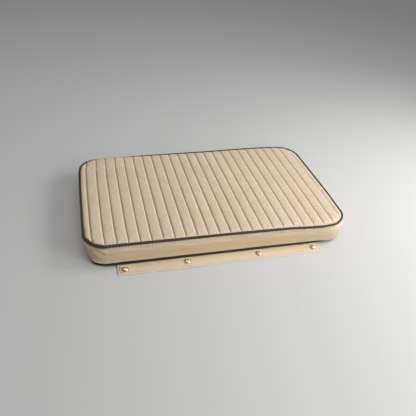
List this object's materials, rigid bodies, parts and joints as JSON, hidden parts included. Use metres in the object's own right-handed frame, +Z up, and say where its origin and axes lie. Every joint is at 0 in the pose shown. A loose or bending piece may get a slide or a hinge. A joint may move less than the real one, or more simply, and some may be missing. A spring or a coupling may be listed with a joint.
{
  "type": "cooler seat cushion",
  "caption": "Padded vinyl seat cushion for a cooler lid, with a channelled top, contrast piping and a front flap with snaps.",
  "frame": {"origin": "middle of the flat underside of the cushion", "axes": "+X along the length, to the right as seen from the front, -Y towards the flap at the front, +Z up"},
  "size_m": [0.6252, 0.4285, 0.0582],
  "materials": {
    "marine_vinyl": "satin grained cream vinyl cloth",
    "piping_vinyl": "satin dark brown vinyl over cord",
    "snap_metal": "polished nickel plate"
  },
  "bodies": {
    "root": {"cushion_pad": "marine_vinyl", "top_piping": "piping_vinyl", "bottom_piping": "piping_vinyl", "snap_flap": "marine_vinyl", "snap_cap_1": "snap_metal", "snap_cap_2": "snap_metal", "snap_cap_3": "snap_metal", "snap_cap_4": "snap_metal"}
  },
  "joints": []
}
